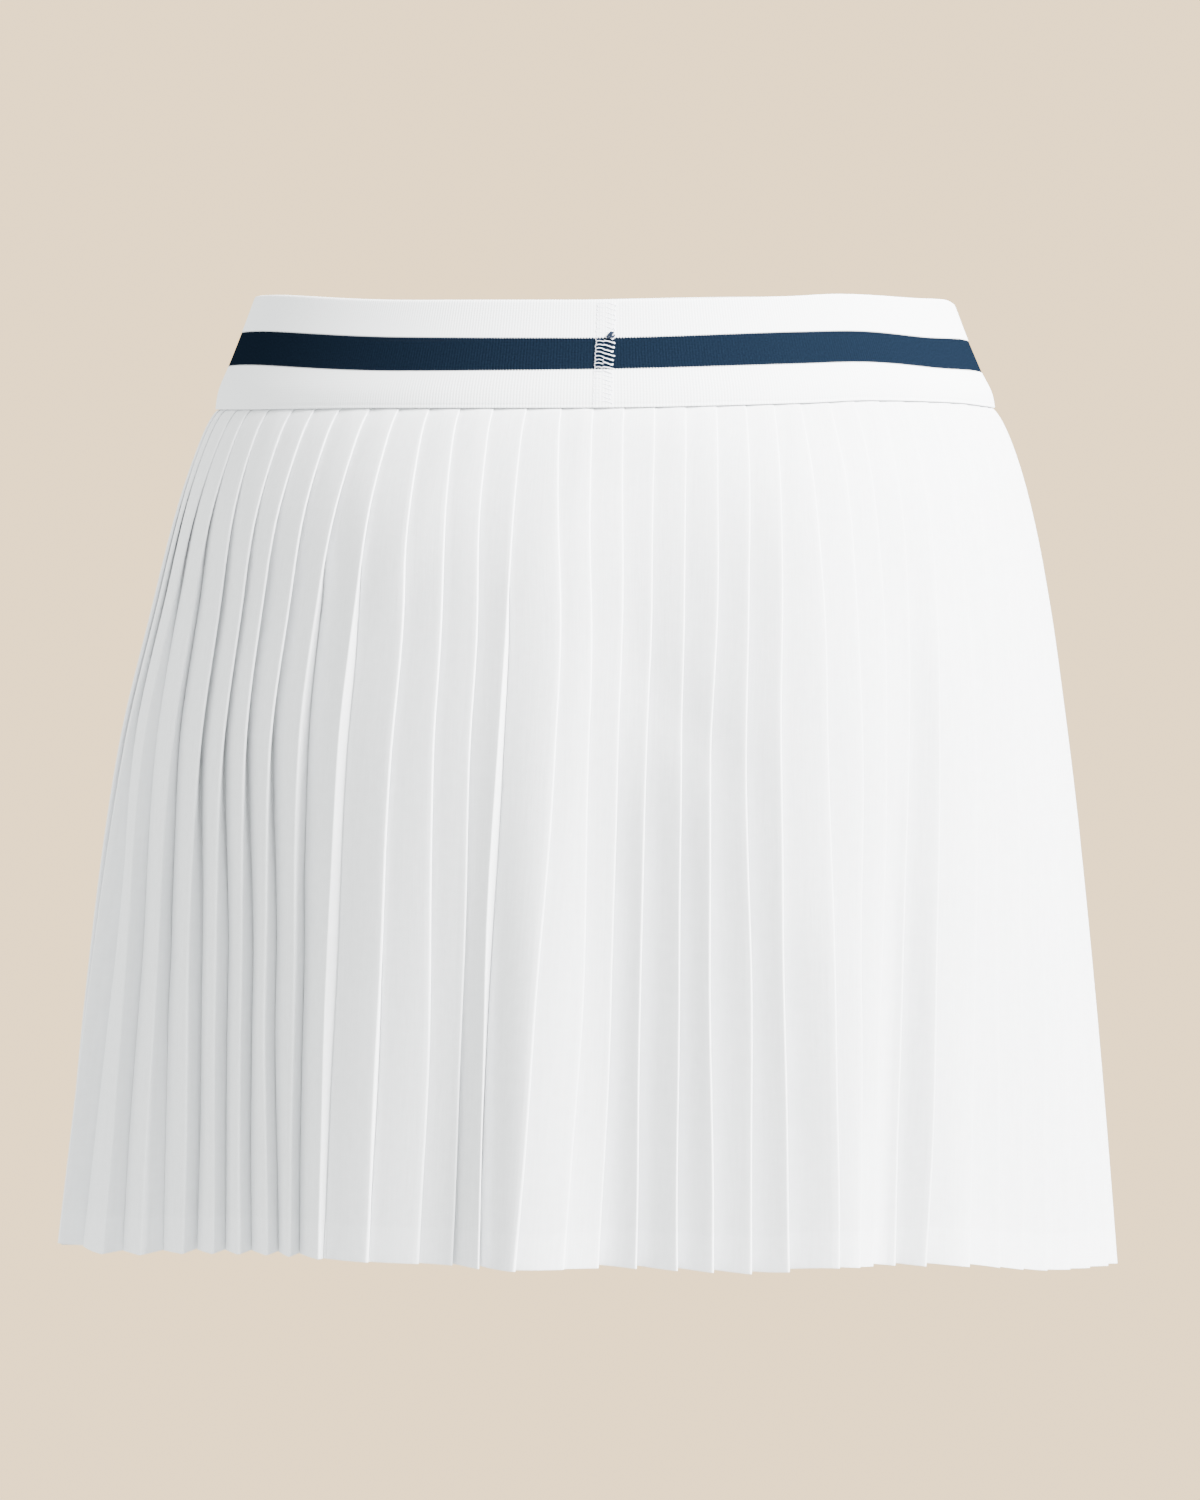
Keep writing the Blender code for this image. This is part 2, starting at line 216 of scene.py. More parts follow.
def tinted(tree, colour, tone):
    # a colour made lighter or darker by a tone
    paint = addNode(tree, "ShaderNodeVectorMath", operation="SCALE")
    paint.inputs[0].default_value = colour
    tree.links.new(tone, paint.inputs["Scale"])
    return paint.outputs[0]


def addBump(tree, shader, height, strength, depth):
    bump = addNode(tree, "ShaderNodeBump")
    bump.inputs["Strength"].default_value = strength
    bump.inputs["Distance"].default_value = depth * mm
    tree.links.new(height, bump.inputs["Height"])
    tree.links.new(bump.outputs[0], shader.inputs["Normal"])


def makeThreads():
    # crossing threads: a fine raised grid along and across the cloth, with slubs that vary its tone
    group = bpy.data.node_groups.new("threads", "ShaderNodeTree")
    for title, kind in (("Vector", "Vector"), ("Threads per metre", "Float"), ("Streaks", "Float")):
        group.interface.new_socket(name=title, in_out="INPUT", socket_type="NodeSocket" + kind)
    for title in ("Height", "Tone"):
        group.interface.new_socket(name=title, in_out="OUTPUT", socket_type="NodeSocketFloat")
    entry, out = addNode(group, "NodeGroupInput"), addNode(group, "NodeGroupOutput")
    apart = addNode(group, "ShaderNodeSeparateXYZ")
    group.links.new(entry.outputs["Vector"], apart.inputs[0])
    waves = []
    for axis in (0, 1):
        turns = mathNode(group, "MULTIPLY", apart.outputs[axis], entry.outputs["Threads per metre"])
        waves.append(mathNode(group, "SINE", mathNode(group, "MULTIPLY", turns, 2 * math.pi)))
    weave = mathNode(group, "MULTIPLY", waves[0], waves[1])
    stretch = addNode(group, "ShaderNodeMapping")
    stretch.inputs["Scale"].default_value = (900.0, 60.0, 1.0)
    group.links.new(entry.outputs["Vector"], stretch.inputs["Vector"])
    slubs = noiseNode(group, stretch.outputs[0], 1.0, 3.0)
    crumple = noiseNode(group, entry.outputs["Vector"], 260.0, 4.0)
    streaks = mathNode(group, "MULTIPLY", slubs, entry.outputs["Streaks"])
    mixed = mathNode(group, "MULTIPLY_ADD", weave, 0.12, streaks)
    for title, under in (("Height", mixed), ("Tone", streaks)):
        group.links.new(mathNode(group, "MULTIPLY_ADD", crumple, 0.5, under), out.inputs[title])
    return group


threads = makeThreads()


def mixShaders(tree, share, first, second, output):
    # the first shader where the share is 0, the second where it is 1
    mix = addNode(tree, "ShaderNodeMixShader")
    for source, socket in zip((share, first.outputs[0], second.outputs[0]), mix.inputs):
        tree.links.new(source, socket)
    tree.links.new(mix.outputs[0], tree.nodes[output].inputs["Surface"])


def clothMaterial(name, colour, look):
    # white cloth: relief and tone from the threads group; the outer folds a little lighter, partly for
    # their double pressed layers and partly as a painted highlight where the fold edge catches the light;
    # the turned hem a little lighter as a double layer
    material, tree, shader = newMaterial(name, {
        "Roughness": look["roughness"], "Specular IOR Level": look["gloss"],
        "Sheen Weight": look["sheen"], "Sheen Roughness": 0.6,
        "Subsurface Weight": look["through"], "Subsurface Radius": (1.0, 1.0, 1.0),
        "Subsurface Scale": 1.2 * mm})
    place = addNode(tree, "ShaderNodeUVMap", uv_map="cloth")
    cloth = addNode(tree, "ShaderNodeGroup", node_tree=threads)
    cloth.inputs["Threads per metre"].default_value = look["threads"]
    cloth.inputs["Streaks"].default_value = look["streaks"]
    tree.links.new(place.outputs["UV"], cloth.inputs["Vector"])
    span = look["toneRange"]
    tone = mathNode(tree, "MULTIPLY_ADD", cloth.outputs["Tone"], span, 1 - span / 2)
    # the outer folds' mark lightens the colour: partly their double pressed layers, partly a painted
    # highlight where the fold edge catches the light
    for title in ("creaseAndHighlight", "hem"):
        if title in look:
            mark = addNode(tree, "ShaderNodeAttribute", attribute_name=title)
            tone = mathNode(tree, "MULTIPLY_ADD", mark.outputs["Fac"], look[title], tone)
    tree.links.new(tinted(tree, colour, tone), shader.inputs["Base Color"])
    addBump(tree, shader, cloth.outputs["Height"], look["relief"], look["reliefDepth"])
    return material


# waistband

waistband = {
    "half": 21.4, "wall": 1.5, "meanWide": 145.0, "columns": 300,
    "ridgeHeight": -20.1, "ridgeDepth": 0.16,
    "stripeTop": 7.5, "stripeBottom": -5.5, "stripeSoft": 0.09, "ribbedLength": 0.78,
    "joinWidth": 7.4, "joinTop": 0.8, "joinFoot": -1.2, "joinRaise": 0.22, "joinTurns": 2.4,
    "flatLength": 0.82, "flatWidth": 0.0428,
    "sections": table(  # outer half width and half depth at each height above the band's middle
        "height wide deep",
        (-21.4, 150.3, 109.0), (-15.5, 149.3, 107.8), (-5.5, 145.2, 104.6), (7.5, 140.0, 100.8),
        (21.4, 134.8, 97.0),
    ),
    "wave": table(  # how much each line of the band rises, by degrees from the left side over the back
        "turn top stripeTop stripeFoot foot",
        (0, 0.4, 0.4, 0.3, -0.3), (20, 0.9, 1.0, 0.9, -0.2), (57, -1.2, -1.3, -1.3, 0.6),
        (86, -1.2, -1.65, -0.7, 0.8), (121, 0.2, 0.7, 1.5, 2.6), (131, 1.1, 1.1, 2.1, 3.5),
        (153, -0.4, -1.5, -0.5, 2.5), (165, -0.8, -1.9, -1.2, 1.2), (173, -2.1, -2.5, -1.8, 0.6),
        (181, -3.5, -3.0, -2.2, 0.3), (190, -3.3, -2.7, -1.9, 0.4), (213, -0.8, -1.0, -0.5, 1.3),
        (245, 0.7, 0.6, 0.9, 1.8), (290, -0.9, -1.1, -0.8, 0.5), (330, 0.1, 0.2, 0.4, 0.2),
        (360, 0.4, 0.4, 0.3, -0.3),
    ),
}


def bandWave(turn, height):
    # rise of the band at a height, between the four lines of the wave table
    levels = [-waistband["half"], waistband["stripeBottom"], waistband["stripeTop"], waistband["half"]]
    rises = [smoothColumn(waistband["wave"], "turn", name, turn % 360)
             for name in ("foot", "stripeFoot", "stripeTop", "top")]
    total = np.zeros(np.broadcast(turn, height).shape)
    for n in range(3):
        share = np.clip((height - levels[n]) / (levels[n + 1] - levels[n]), 0, 1)
        inSpan = (height >= levels[n]) & (height < levels[n + 1] if n < 2 else height <= levels[3] + 5)
        total = np.where(inSpan, rises[n] * (1 - share) + rises[n + 1] * share, total)
    return np.where(height < levels[0], rises[0], total)


def bandPoint(turn, height, inset):
    # a point of the elastic, by degrees from the left side over the back, height and depth in the wall
    wide = smoothColumn(waistband["sections"], "height", "wide", height) - inset
    deep = smoothColumn(waistband["sections"], "height", "deep", height) - inset
    angle = np.radians(turn)
    middle = bandFoot / mm + waistband["half"]
    return np.stack([-wide * np.cos(angle), -deep * np.sin(angle),
                     middle + height + bandWave(turn, height)], -1) * mm


def joinCentre(height):
    share = (height + waistband["half"]) / (2 * waistband["half"])
    return waistband["joinFoot"] + (waistband["joinTop"] - waistband["joinFoot"]) * share


def makeWaistband():
    half, wall, joinTurns = waistband["half"], waistband["wall"], waistband["joinTurns"]
    even = np.linspace(0, 360, waistband["columns"] + 1)
    turns = np.unique(np.concatenate([even, 90 + np.linspace(-joinTurns, joinTurns, 25)]))
    heights = np.concatenate([[21.0, 20.4], np.linspace(19.4, 8.1, 8), [waistband["stripeTop"]],
                              np.linspace(6.4, -4.4, 7), [waistband["stripeBottom"]],
                              np.linspace(-6.7, -18.6, 8), [-19.6, waistband["ridgeHeight"], -20.5, -21.0]])
    groove = waistband["ridgeDepth"] * np.exp(-((heights - waistband["ridgeHeight"]) / 0.35)**2)
    # rows of height and depth in the wall, from the rounded top edge to the foot
    depths = np.where(heights > 20.9, 0.05, groove)
    outer = [(half, 0.75), (21.32, 0.35), *zip(heights, depths), (-21.34, 0.2)]
    inner = [(half, 0.8), (21.3, 1.2), *((height, wall) for height in heights), (-21.34, 1.35)]

    def grid(lines):
        height = np.array([line[0] for line in lines])[:, None]
        inset = np.array([line[1] for line in lines])[:, None]
        x = -waistband["meanWide"] * np.cos(np.radians(turns))[None, :]
        onBack = (turns > 45) & (turns < 135)
        aside = np.abs(x - joinCentre(height)) - waistband["joinWidth"] / 2
        raised = waistband["joinRaise"] * (1 - ease(aside, -1.3, 0.7)) * onBack[None, :]
        top = ease(height, 20.2, half)
        return bandPoint(turns[None, :] + 0 * height, height + 0 * turns[None, :],
                         inset - raised * (1 - top) * (inset < 0.7))

    outside = grid(outer)
    around = np.broadcast_to(turns[None, :] / 360 * waistband["ribbedLength"], outside.shape[:2])
    down = np.broadcast_to(np.array([line[0] for line in outer])[:, None] / 1000, outside.shape[:2])
    closed = np.ones(len(outer), bool)
    return buildShell("waistband_elastic", outside, grid(inner), closed, around, down)


def elasticMaterial():
    # ribs across the white elastic, and a navy stripe whose edges step from rib to rib
    look = {"white": (0.86, 0.87, 0.88), "navy": (0.0034, 0.0066, 0.0125), "ribs": (1000, 1600),
            "serration": 0.24, "specks": 1700.0, "relief": 0.5, "reliefDepth": 0.06}
    material, tree, shader = newMaterial("ribbed_elastic", {"Roughness": 0.9, "Specular IOR Level": 0.0})
    place = addNode(tree, "ShaderNodeUVMap", uv_map="cloth")
    apart = addNode(tree, "ShaderNodeSeparateXYZ")
    tree.links.new(place.outputs["UV"], apart.inputs[0])
    rib, cross = (mathNode(tree, "SINE", mathNode(tree, "MULTIPLY", apart.outputs[n], 2 * math.pi * count))
                  for n, count in enumerate(look["ribs"]))
    height = mathNode(tree, "MULTIPLY", apart.outputs[1], 1000.0)
    jagged = mathNode(tree, "MULTIPLY_ADD", rib, look["serration"], height)
    bottom, top, soft = waistband["stripeBottom"], waistband["stripeTop"], waistband["stripeSoft"]
    stripe = mathNode(tree, "MULTIPLY", rangeNode(tree, jagged, bottom - soft, bottom + soft),
                      rangeNode(tree, jagged, top - soft, top + soft, 1.0, 0.0))
    speck = noiseNode(tree, place.outputs["UV"], look["specks"])
    mix = addNode(tree, "ShaderNodeMix", data_type="RGBA")
    tree.links.new(stripe, mix.inputs["Factor"])
    for title, colour, span, least in (("A", look["white"], 0.05, 0.975), ("B", look["navy"], 1.3, 0.35)):
        tone = mathNode(tree, "MULTIPLY_ADD", speck, span, least)
        tree.links.new(tinted(tree, colour, tone), mix.inputs[title])
    tree.links.new(mix.outputs["Result"], shader.inputs["Base Color"])
    relief = mathNode(tree, "MULTIPLY_ADD", cross, 0.25, rib)
    relief = mathNode(tree, "MULTIPLY_ADD", speck, 0.8, relief)
    addBump(tree, shader, relief, look["relief"], look["reliefDepth"])
    return material


def threadMaterial(name, colour):
    look = {"twist": 3500.0, "toneRange": 0.3, "relief": 0.4, "reliefDepth": 0.05}
    material, tree, shader = newMaterial(name, {"Roughness": 0.7, "Specular IOR Level": 0.2})
    place = addNode(tree, "ShaderNodeTexCoord")
    twist = noiseNode(tree, place.outputs["Object"], look["twist"])
    tone = mathNode(tree, "MULTIPLY_ADD", twist, look["toneRange"], 1 - look["toneRange"] / 2)
    tree.links.new(tinted(tree, colour, tone), shader.inputs["Base Color"])
    addBump(tree, shader, twist, look["relief"], look["reliefDepth"])
    return material


def makeThread(name, runs, radius, material):
    # several runs of thread as round tubes in one mesh; a run's points carry their share of the radius
    curve = bpy.data.curves.new(name, "CURVE")
    curve.dimensions = "3D"
    curve.bevel_depth = radius * mm
    curve.bevel_resolution = 1
    curve.use_fill_caps = True
    for run in runs:
        spline = curve.splines.new("POLY")
        spline.points.add(len(run) - 1)
        for point, (*spot, share) in zip(spline.points, run):
            point.co = (*spot, 1.0)
            point.radius = share
    thread = bpy.data.objects.new(name, curve)
    bpy.context.collection.objects.link(thread)
    thread.select_set(True)
    bpy.context.view_layer.objects.active = thread
    bpy.ops.object.convert(target="MESH")
    thread = bpy.context.view_layer.objects.active
    thread.data.materials.clear()
    thread.data.materials.append(material)
    smoothPiece(thread, 50)
    return thread


def onBand(x, height, proud):
    # a point on the back of the waistband, x millimetres from the centre and so far proud of the join
    wide = smoothColumn(waistband["sections"], "height", "wide", height)
    turn = math.degrees(math.acos(-x / wide))
    return tuple(bandPoint(turn, height, -waistband["joinRaise"] - proud))


joinStitch = {
    "leftPitch": 1.54, "rightPitch": 1.76, "thread": 0.23, "top": 20.6, "foot": -20.6, "sunk": -0.16,
    "leftFrom": -3.6, "leftTo": -0.4, "rightFrom": -0.5, "rightTo": 3.3, "slant": 1.3,
    "leftShare": 0.55, "loopShare": 0.36, "rightShare": 0.85,   # thickness of each kind of stitch
    "frayThread": 0.32, "frayLift": 0.7,
}


def stitchRun(height, start, end, fall, rise, number, share=1.0):
    # one stitch across the join, proud on the stripe and sunk into the elastic above and below it
    run = []
    onStripe = float(ease(height, waistband["stripeBottom"] - 2.2, waistband["stripeBottom"] - 0.8)
                     * (1 - ease(height, waistband["stripeTop"] - 1.6, waistband["stripeTop"] - 0.4)))
    base = joinStitch["sunk"] + (0.1 - joinStitch["sunk"]) * onStripe
    for s in np.linspace(0, 1, 8):
        x = joinCentre(height) + start + (end - start) * s
        up = rise * math.sin(math.pi * min(1, s * 1.15)) + fall * (0.5 - s)
        up = up + 0.09 * math.sin(1.7 * number + 2 * s)
        run.append((*onBand(x, height + up, base + 0.14 * math.sin(math.pi * s)), share))
    return run


def makeJoinStitches(material):
    runs = []
    tall = joinStitch["top"] - joinStitch["foot"]
    for n in range(int(tall / joinStitch["leftPitch"])):    # left column: low arches that loop at the edge
        height = joinStitch["top"] - (n + 0.5) * joinStitch["leftPitch"]
        edge = joinStitch["leftFrom"] + 0.18 * math.sin(2.9 * n)
        runs.append(stitchRun(height, edge, joinStitch["leftTo"], 0.1, 0.36, n, joinStitch["leftShare"]))
        runs.append(stitchRun(height - 0.7, edge - 0.1, edge + 0.2, 0.8, 0, n, joinStitch["loopShare"]))
    for n in range(int(tall / joinStitch["rightPitch"])):   # right column: falls towards the right
        height = joinStitch["top"] - (n + 0.5) * joinStitch["rightPitch"]
        reach = joinStitch["rightTo"] + 0.35 * math.sin(2.3 * n + 1)
        slant, hook = joinStitch["slant"] + 0.3 * math.sin(3.1 * n), -0.7 * math.cos(1.9 * n)
        share = joinStitch["rightShare"]
        runs.append(stitchRun(height, joinStitch["rightFrom"], reach, slant, 0.1, n, share))
        runs.append(stitchRun(height - 0.5, reach - 0.5, reach + 0.1, hook, 0.15, n + 3))
    return makeThread("join_stitches", runs, joinStitch["thread"], material)


frayEnds = table(  # loose navy ends at the stripe's top edge: start, reach across, rise and bow
    "x height across rise bow",
    (0.6, 6.9, 1.5, 1.3, 0.5), (0.9, 7.2, 1.9, 1.0, 0.6), (0.8, 7.5, 2.2, 0.6, 0.5),
    (1.5, 7.3, 1.6, 1.5, -0.3), (1.2, 7.7, 2.0, 0.9, 0.4), (1.9, 7.6, 1.3, 1.0, 0.4),
    (0.7, 6.6, 2.4, 0.9, -0.2), (1.4, 7.9, 1.2, 0.7, 0.5), (2.1, 7.2, 1.4, 0.3, -0.4),
)


def makeFray(material):
    runs = []
    for end in frayEnds:
        run = []
        for s in np.linspace(0, 1, 7):
            arch = math.sin(math.pi * s)
            height = end["height"] + end["rise"] * s + end["bow"] * arch + joinStitch["frayLift"]
            run.append((*onBand(end["x"] + end["across"] * s, height, 0.6 + 0.3 * arch), 1.0))
        runs.append(run)
    return makeThread("join_fray", runs, joinStitch["frayThread"], material)


band = makeWaistband()
band.data.materials.append(elasticMaterial())
whiteThread = threadMaterial("white_thread", (0.83, 0.83, 0.9))
joinStitches = makeJoinStitches(whiteThread)
joinFray = makeFray(threadMaterial("navy_thread", (0.006, 0.012, 0.026)))
print("waistband made,", len(band.data.polygons), "faces")


# pleated skirt

skirt = {
    "length": 323.0, "cloth": 0.34, "panel": 22.2, "return": 9.5, "backPleats": 32, "frontPleats": 34,
    "foldTop": 0.3, "foldFoot": 0.44, "foldHem": 0.12,      # radius of the folds
    "pressedDepth": 1.75, "freeDrop": 34.0, "panelBow": 0.12,
    "tiltDrops": (5, 75, 215),      # where the pleats start to open, and where hip and hem openings hold
    "frontTilt": {"hip": (12, 5), "hem": (20, 8)},          # middle and unevenness
    "kneeBack": 1.2, "kneeUneven": 0.7, "uprightTilt": (12.0, 22.0), "uprightDrop": (45.0, 215.0),
    "hemTurn": 13.5, "hemExtra": 0.22, "hemLift": 1.0, "tuck": 2.0,
    "sections": table(  # half width, depth to back and front, swing to one side, pinch of each side
        "drop wide back front swing left right",
        (-2, 148.15, 106.85, 106.85, 0, 0, 0), (-0.1, 148.5, 107.2, 107.2, 0, 0, 0),
        (0.5, 149.9, 108.6, 108.5, 0, 0, 0), (1.6, 150.9, 109.6, 109.2, 0, 0, 0),
        (4.5, 152.8, 111.4, 110, 0, 0, 0), (12, 156.3, 115, 112, 0, 0, 0),
        (36, 164.2, 123, 117, -0.4, 0, 0), (75, 173.2, 132, 123, -1.5, 0.08, 0.04),
        (130, 183.6, 139, 128, -4.2, 0.2, 0.1), (220, 194.8, 145, 133, -5.8, 0.45, 0.2),
        (323, 205.4, 149, 137, -7.2, 0.62, 0.3),
    ),
    "hem": table(  # how much lower than the nominal length the hem hangs, across the back
        "across low",
        (-212, -1.5), (-194, 1.2), (-179, 0.6), (-152, -1.8), (-120, -3.0), (-91, -2.3), (-61, -1.9),
        (-35, -0.4), (-2, -1.0), (30, 0.0), (57, 1.1), (86, -0.8), (121, 0.3), (137, 1.3), (171, 5.6),
        (198, 6.4),
    ),
}
skirtLength = skirt["length"]

pleatOpening = table(  # degrees that each panel stands off the skirt's outline at the hip and at the hem
    "across hip hem",
    (-212, 6, 12), (-185, 10, 17), (-150, 17, 23), (-109, 19, 23), (-97, 12, 14), (-89, 8, 8),
    (-72, 9, 5), (-60, 10, 9), (-46, 13, 16), (-34, 9, 19), (-24, 5, 8), (-12, 5, 3), (-2, 8, 6),
    (10, 11, 23), (40, 18, 28), (83, 24, 30), (92, 14, 4), (100, 7, 14), (109, 6, 30), (119, 7, 36),
    (130, 9, 26), (140, 20, 22), (148, 5, 18), (165, 3, 10), (198, 6, 12),
)

foldDrops = {"seam": 0, "hip": 112, "thigh": 220, "hem": skirtLength}
backFolds = table(  # where each outer fold of the back stands, from the centre back, at four drops
    "seam hip thigh hem",
    (-145.5, -181.0, -198.5, -211.0), (-140.5, -174.0, -184.5, -193.0), (-135.0, -163.5, -172.0, -178.0),
    (-127.5, -152.5, -159.5, -162.5), (-118.0, -143.5, -149.5, -150.0), (-109.5, -135.5, -139.0, -139.0),
    (-100.0, -125.5, -129.0, -128.0), (-88.5, -114.0, -117.5, -118.0), (-77.5, -98.5, -103.5, -105.0),
    (-66.0, -79.0, -84.0, -89.0), (-54.5, -63.5, -67.0, -72.0), (-42.0, -50.5, -55.0, -59.5),
    (-29.5, -39.5, -45.5, -48.0), (-16.5, -17.5, -26.0, -33.5), (-4.5, -6.0, -8.5, -16.0),
    (7.0, 5.5, 3.0, -2.5), (18.5, 17.0, 14.0, 13.0), (30.0, 29.5, 29.0, 28.5), (41.5, 41.0, 40.5, 41.0),
    (52.5, 53.5, 54.5, 54.5), (63.0, 65.5, 66.0, 67.5), (73.0, 81.5, 83.0, 83.0),
    (84.0, 94.5, 92.0, 91.5), (93.5, 104.5, 102.0, 99.5), (103.0, 114.5, 112.0, 108.5),
    (112.5, 125.5, 122.5, 118.5), (122.0, 140.0, 139.0, 134.5), (130.5, 148.0, 149.5, 149.5),
    (137.5, 156.5, 159.0, 159.5), (142.5, 163.5, 168.0, 169.0), (145.9, 169.0, 175.5, 178.0),
    (148.0, 173.5, 182.0, 186.0),
)

backCreases = table(  # soft folds of the hanging cloth, across from the centre back and down from the seam
    "across drop length width lean height",
    (-80, 62, 26, 7, -28, 1.2), (-26, 60, 22, 6, -32, 0.9), (32, 118, 34, 11, 38, -1.1),
    (-38, 330, 185, 15, -5, 3.6), (-63, 330, 190, 14, -4, -5.5), (4, 330, 240, 28, -3, -12.0),
    (89, 330, 250, 26, 0, 11.5), (103, 330, 190, 10, -3, -7.5), (130, 330, 170, 14, 2, 6.0),
    (126, 95, 75, 8, 6, 1.6), (-103, 320, 180, 17, -3, 5.0), (-158, 300, 110, 13, -8, -1.8),
)
frontCreases = table(
    "across drop length width lean height",
    (70, 70, 30, 8, 26, 1.1), (10, 58, 22, 7, -30, 0.8), (-48, 112, 36, 11, -34, -1.1),
    (40, 330, 170, 18, 4, -4.2), (78, 330, 160, 19, 3, 3.8), (-20, 330, 180, 22, 0, 3.6),
    (-62, 330, 150, 17, -4, -3.4), (-105, 300, 150, 18, -3, 2.6),
)


class SkirtOutline:
    # the skirt's outer edge at one drop, seen from above, measured by length from its left side

    def __init__(self, drop):
        size = {name: float(smoothColumn(skirt["sections"], "drop", name, drop))
                for name in ("wide", "back", "front", "swing", "left", "right")}
        self.drop, self.wide, self.swing = drop, size["wide"], size["swing"]
        turn = np.linspace(0, 2 * math.pi, 8 * 360 + 1)     # every eighth of a degree
        across = -np.cos(turn)
        deep = np.where(np.sin(turn) > 0, size["back"], size["front"])
        pinch = np.where(across < 0, size["left"], size["right"])
        self.x = self.swing + self.wide * across
        self.y = -deep * np.sin(turn) * (1 - pinch * across**2)
        self.turn = np.degrees(turn)
        self.length = np.concatenate([[0], np.cumsum(np.hypot(np.diff(self.x), np.diff(self.y)))])
        self.around = self.length[-1]

    def read(self, at, values):
        return np.interp(at % self.around, self.length, values)

    def inside(self, at, depth):
        near = 3    # the edge's direction is taken between two points, so many millimetres to each side
        alongX, alongY = (self.read(at + near, values) - self.read(at - near, values)
                          for values in (self.x, self.y))
        size = np.hypot(alongX, alongY)
        x, y = self.read(at, self.x), self.read(at, self.y)
        return x - depth * alongY / size, y + depth * alongX / size

    def atBack(self, x):
        half = len(self.x) // 2 + 1
        return np.interp(x, self.x[:half], self.length[:half])


def foldShares():
    # where each back fold stands at each drop, as a share of the way round the back
    rows = []
    for level, drop in foldDrops.items():
        line = SkirtOutline(drop)
        rows.append([float(line.atBack(fold[level])) / line.around for fold in backFolds])
    return np.array(rows)


def wobble(number, drop):
    # small unevenness of a fold on its way down
    slow, quick = math.sin(drop / 43 + 2.1 * number), math.sin(drop / 17 + 3.7 * number)
    return 0.3 * ease(drop, 6, 60) * (slow + 0.5 * quick)


def foldPlaces(outline, shares):
    # places of all folds along the outline: the back's from their table, the front's evenly spaced
    places = []
    for number in range(len(backFolds)):
        rows = table("drop share", *zip(foldDrops.values(), shares[:, number]))
        places.append(float(smoothColumn(rows, "drop", "share", outline.drop)) * outline.around)
    gap = (places[0] + outline.around - places[-1]) / (skirt["frontPleats"] + 1)
    lastBack = places[-1]
    for number in range(1, skirt["frontPleats"] + 1):
        uneven = 1.1 * math.sin(2.4 * number) * ease(outline.drop, 10, 120)
        places.append(lastBack + number * gap + uneven)
    return np.array([place + wobble(number, outline.drop) for number, place in enumerate(places)])


def pleatShape(places, outline, radius):
    # depth of each inner fold, how far its return runs back and how steeply its panel stands, from the
    # cloth's lengths, the pitch and the opening table
    total = len(places)
    pitch = (np.roll(places, -1) - places) % outline.around
    panel, back, pressed = skirt["panel"], skirt["return"], skirt["pressedDepth"]
    surface = radius + skirt["cloth"] / 2
    number = np.arange(total)
    across = outline.read(places + pitch, outline.x) * skirt["sections"][-1]["wide"] / outline.wide
    uneven = np.sin(1.7 * number) * np.sin(0.6 * number)
    tilts = []
    for level, (middle, spread) in skirt["frontTilt"].items():
        atBack = smoothColumn(pleatOpening, "across", level, across)
        tilts.append(np.where(number < skirt["backPleats"], atBack, middle + spread * uneven))
    opens, hip, low = skirt["tiltDrops"]
    closed = np.degrees(np.arctan((pressed - surface) / (pitch + 9)))
    tilt = closed + (tilts[0] - closed) * float(ease(outline.drop, opens, hip))
    tilt = tilt + (tilts[1] - tilts[0]) * float(ease(outline.drop, hip, low))
    slope = np.tan(np.radians(np.maximum(tilt, closed)))
    slope = np.minimum(slope, (back - 0.1 - surface) / (pitch + 0.4))
    foot = (panel**2 + pitch**2 - back**2) / (2 * pitch)
    freedom = float(ease(outline.drop, 0, skirt["freeDrop"]))
    depth = np.clip(surface + slope * (pitch + 1.6 * skirt["kneeBack"]), pressed, back - 0.05)
    upright = ease(tilt, *skirt["uprightTilt"]) * ease(outline.drop, *skirt["uprightDrop"])
    depth = depth + (back - 0.2 - depth) * upright
    folded = np.sqrt(back**2 - depth**2)
    reach = (1 - freedom) * folded + freedom * np.minimum(np.maximum(foot - pitch, -4), folded)
    room = radius + skirt["cloth"] + 0.1
    for k in list(range(total)) * 2:
        before = k - 1
        steep = max(slope[before], (depth[before] - surface) / (pitch[before] + reach[before]))
        least = surface + steep * max(reach[k], 0) + room
        if reach[k] > 0:
            least = max(least, surface + room * (pitch[k] + reach[k]) / pitch[k])
        least = min(least, back - 0.05)
        if depth[k] < least:
            depth[k] = least
            reach[k] = math.sqrt(back**2 - least**2)
    return depth, reach, np.arctan(slope)


